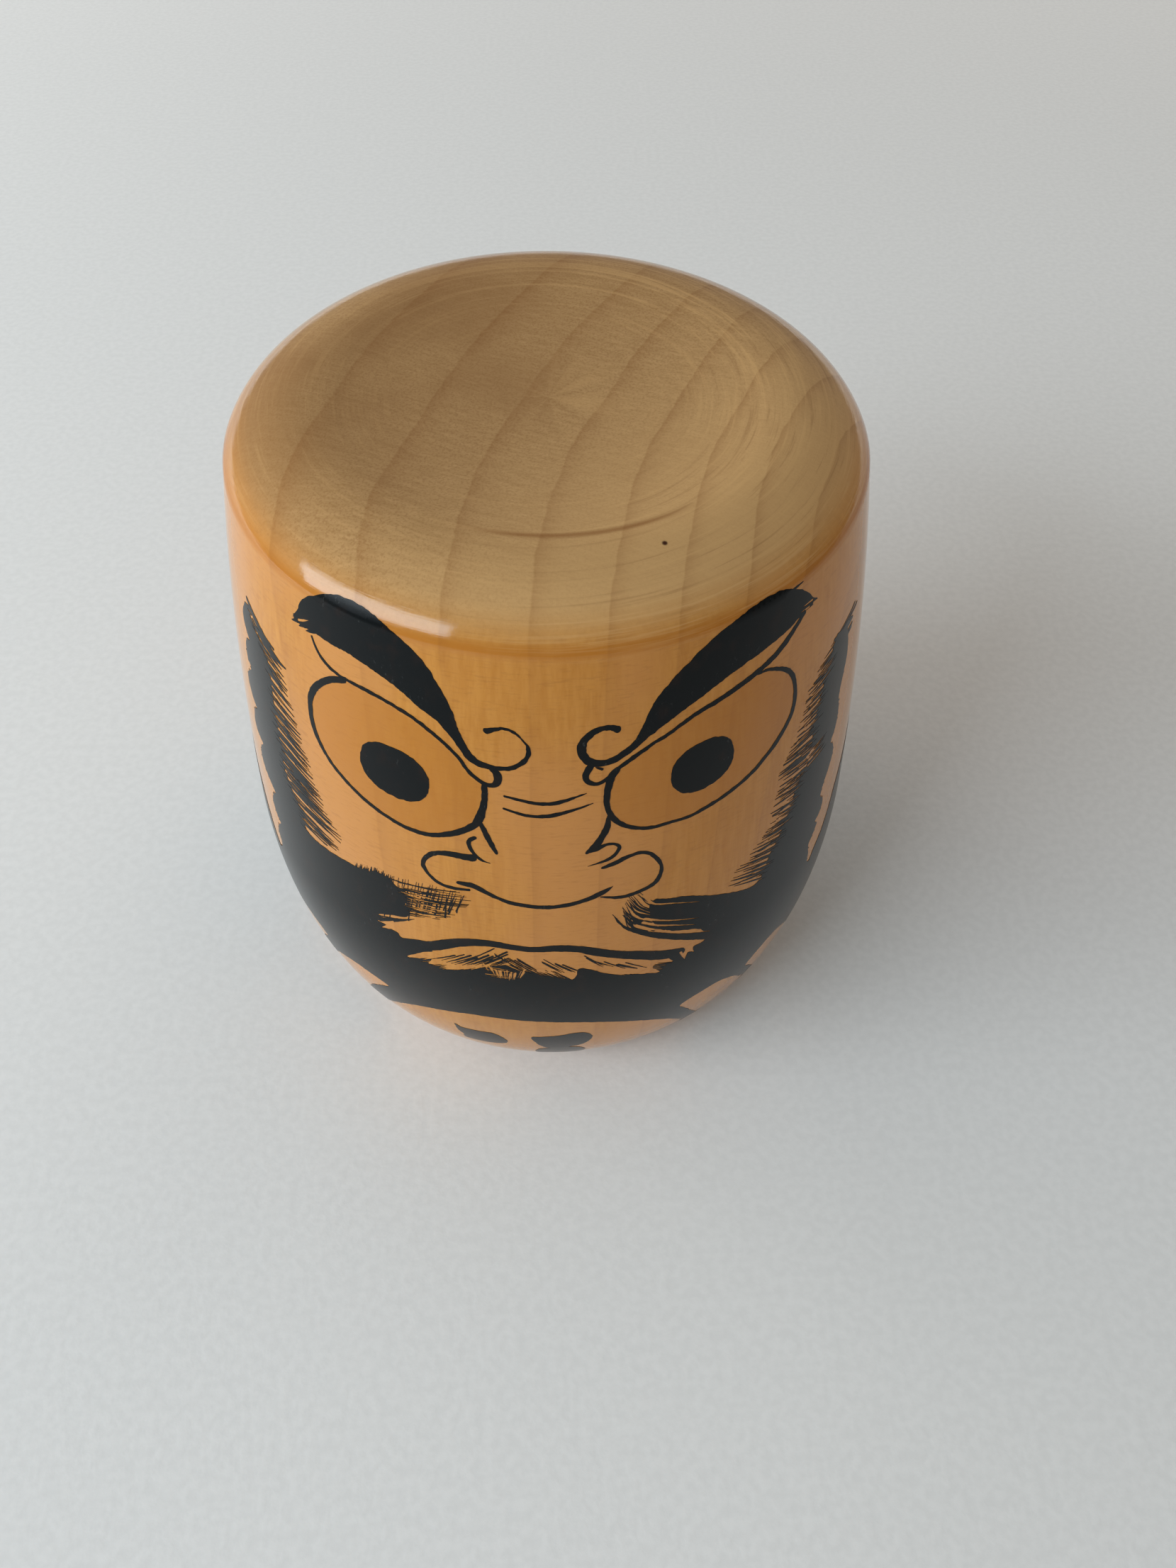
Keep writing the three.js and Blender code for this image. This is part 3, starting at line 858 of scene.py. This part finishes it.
def tint_eyes(body):
    """Mark the side's points inside the two eye outlines, where the wood is more amber."""
    points = np.array([vertex.co for vertex in body.data.vertices]) / MM
    layout = np.stack([np.arctan2(points[:, 0], -points[:, 1]) * GIRTH_RADIUS, points[:, 2]], axis=1)
    inside = np.zeros(len(points), bool)
    for eye, lid in ((EYE_LEFT, LID_LEFT), (EYE_RIGHT, LID_RIGHT)):
        low, high = sorted((eye[0][0], eye[-1][0]))
        upper_lid = [point for point in reversed(lid) if low < point[0] < high]
        outline = smooth_path(eye + upper_lid, closed=True)
        inside |= wound_round(layout, outline[:, :2])
    beyond_bore = BORE["radius"] + 5
    inside &= np.hypot(points[:, 0], points[:, 1]) > beyond_bore
    attribute = body.data.attributes.new(EYE_TINT, "FLOAT", "POINT")
    attribute.data.foreach_set("value", inside.astype(float))


# ---- The turned pieces ----

BODY_TURNS = 384      # facets round each piece
PLUG_TURNS = 192
# Steps along each stretch of the body's outline.
FOOT_STEPS, SIDE_STEPS, SHOULDER_STEPS, DISH_STEPS, BORE_STEPS = 60, 70, 24, 30, 16
SHARP_ANGLE = 30.0    # edges that turn by more degrees than this aren't shaded smooth


def lathed(name, profile, count, material):
    """A closed solid turned from an outline of (radius, height) points. Radius 0 closes it at the axis.
    A point that repeats the first one closes the outline instead."""
    vertices, rings = [], []
    for radius, height in profile:
        if len(rings) > 1 and (radius, height) == profile[0]:
            rings.append(rings[0])
            continue
        if radius == 0:
            rings.append([len(vertices)] * count)
            vertices.append((0, 0, height * MM))
            continue
        rings.append(list(range(len(vertices), len(vertices) + count)))
        for step in range(count):
            turn = 2 * math.pi * step / count
            vertices.append((radius * math.sin(turn) * MM, -radius * math.cos(turn) * MM, height * MM))
    faces = []
    for lower, upper in zip(rings, rings[1:]):
        for step in range(count):
            after = (step + 1) % count
            corners = [lower[step], lower[after], upper[after], upper[step]]
            corners = list(dict.fromkeys(corners))
            if len(corners) > 2:
                faces.append(corners)
    piece = add_object(name, vertices, faces, material)
    piece.data.set_sharp_from_angle(angle=math.radians(SHARP_ANGLE))
    return piece


def steps_between(first, last, steps):
    return [first + (last - first) * step / steps for step in range(steps + 1)]


def quarter_turn(steps):
    return steps_between(0, math.pi / 2, steps)


def body_profile():
    """From the rebate's inner corner, round the foot, up the side, over the top and down the bore."""
    rebate_radius = PLUG["radius"] + GLUE_GAP
    rebate_top = PLUG["thickness"] + GLUE_GAP
    bore_spring = BORE["top"] - BORE["dome_height"]
    heights = [FOOT["height"] * (1 - math.cos(turn)) for turn in quarter_turn(FOOT_STEPS)]
    heights += steps_between(FOOT["height"], RIM_HEIGHT, SIDE_STEPS)[1:]
    shoulder_turns = quarter_turn(SHOULDER_STEPS)[1:]
    heights += [HEIGHT - SHOULDER["height"] * (1 - math.sin(turn)) for turn in shoulder_turns]
    side = [(float(side_radius(height)), height) for height in heights]
    top = [(radius, HEIGHT - DISH["depth"] * (1 - (radius / DISH["radius"]) ** 2))
           for radius in reversed(steps_between(0, DISH["radius"], DISH_STEPS))]
    dome = [(BORE["radius"] * math.cos(turn), bore_spring + BORE["dome_height"] * math.sin(turn))
            for turn in quarter_turn(BORE_STEPS)]
    dome[-1] = (0, BORE["top"])
    rebate = [(rebate_radius, rebate_top), (rebate_radius, 0.0)]
    return rebate + side + top + dome[::-1] + [(BORE["radius"], rebate_top), rebate[0]]


def turned_body(material):
    piece = lathed("wooden_body", body_profile(), BODY_TURNS, material)
    tint_eyes(piece)
    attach(piece, "root")
    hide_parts("turned_body")


def base_plug(material):
    radius, chamfer, thickness = PLUG["radius"], PLUG["chamfer"], PLUG["thickness"]
    profile = [(0, 0), (radius - chamfer, 0), (radius, chamfer), (radius, thickness), (0, thickness)]
    piece = lathed("base_disc", profile, PLUG_TURNS, material)
    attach(piece, "root")
    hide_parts("base_plug")


# ---- Build it ----

turned_body(lacquered_wood())
base_plug(bare_wood())

black = brush_ink()
nose_lines = WRINKLES + NOSE_SIDES + NOSE_CURLS + NOSTRILS + [NOSE_BOTTOM]
film("brow_left", brow_marks(BROW_LEFT, BROW_LEFT_TIPS, BROW_LEFT_GAPS), black)
film("brow_right", brow_marks(BROW_RIGHT, BROW_RIGHT_TIPS, BROW_RIGHT_GAPS), black)
film("eye_left", ink([stroke(LID_LEFT), stroke(EYE_LEFT), pupil(*PUPILS["left"])]), black)
film("eye_right", ink([stroke(LID_RIGHT), stroke(EYE_RIGHT), pupil(*PUPILS["right"]), hair(*LID_RIGHT_TIP)]),
     black)
film("nose", ink([stroke(line) for line in nose_lines]), black)
film("whiskers_and_robe", whisker_marks(), black)
film("belly_dabs", ink([patch(dab) for dab in BELLY_DABS]), black)


# ---- Floor, light and camera: lengths are metres ----

LIGHT_DISTANCE = 1.2
FLOOR_HALF = 1.5
FLOOR_DROP = 0.0005    # below the base


def window(name, azimuth, elevation, length, height, power, colour, tilt=0.0, mirrored=False):
    """A rectangular light that faces the doll. Azimuth runs from +Y towards +X; tilt turns it about its own
    middle. All three angles are in degrees. Only a mirrored light shows as a highlight in the wax."""
    azimuth, elevation, tilt = (math.radians(angle) for angle in (azimuth, elevation, tilt))
    light = bpy.data.lights.new(name, "AREA")
    light.shape = "RECTANGLE"
    light.size, light.size_y = length, height
    light.energy = power
    light.color = colour
    lamp = bpy.data.objects.new(name, light)
    turn = Matrix.Rotation(-azimuth, 4, "Z") @ Matrix.Rotation(elevation - math.pi / 2, 4, "X")
    lamp.matrix_world = turn @ Matrix.Translation((0, 0, LIGHT_DISTANCE)) @ Matrix.Rotation(tilt, 4, "Z")
    lamp.visible_glossy = mirrored
    bpy.context.scene.collection.objects.link(lamp)


floor_corners = [(x * FLOOR_HALF, y * FLOOR_HALF, 0) for x, y in ((-1, -1), (1, -1), (1, 1), (-1, 1))]
floor = add_object("paper_floor", floor_corners, [(0, 1, 2, 3)], paper())
floor.location.z = -FLOOR_DROP

# Name, azimuth, elevation, length, height, power in watts, colour.
window("sky_window", -118, 31, 1.05, 0.4, 12.5, (0.81, 0.92, 1.0), tilt=20, mirrored=True)
window("wall_left", -84, 12, 1.2, 0.6, 8.0, (1.0, 0.98, 0.90))
window("wall_back_left", -35, 10, 1.4, 0.5, 7.2, (0.97, 0.98, 1.0))
window("wall_back_right", 40, 10, 1.4, 0.5, 6.6, (1.0, 0.94, 0.87))
window("wall_front", 175, 7, 1.5, 0.6, 2.9, (1.0, 0.90, 0.76))

world = bpy.data.worlds.new("room")
world.use_nodes = True
background = world.node_tree.nodes["Background"]
background.inputs["Color"].default_value = (1.0, 0.93, 0.84, 1)
background.inputs["Strength"].default_value = 0.21
bpy.context.scene.world = world
bpy.context.scene.view_settings.view_transform = "Standard"

# A phone's wide lens, close above the doll.
camera_data = bpy.data.cameras.new("camera")
camera_data.lens = 28.0
camera_data.sensor_width = 36.0
camera = bpy.data.objects.new("camera", camera_data)
camera.location = (0.0, -0.1258, 0.18235)
camera.rotation_euler = [math.radians(angle) for angle in (38.344, -0.897, -1.550)]
camera_data.clip_start = 0.01
bpy.context.scene.collection.objects.link(camera)
bpy.context.scene.camera = camera
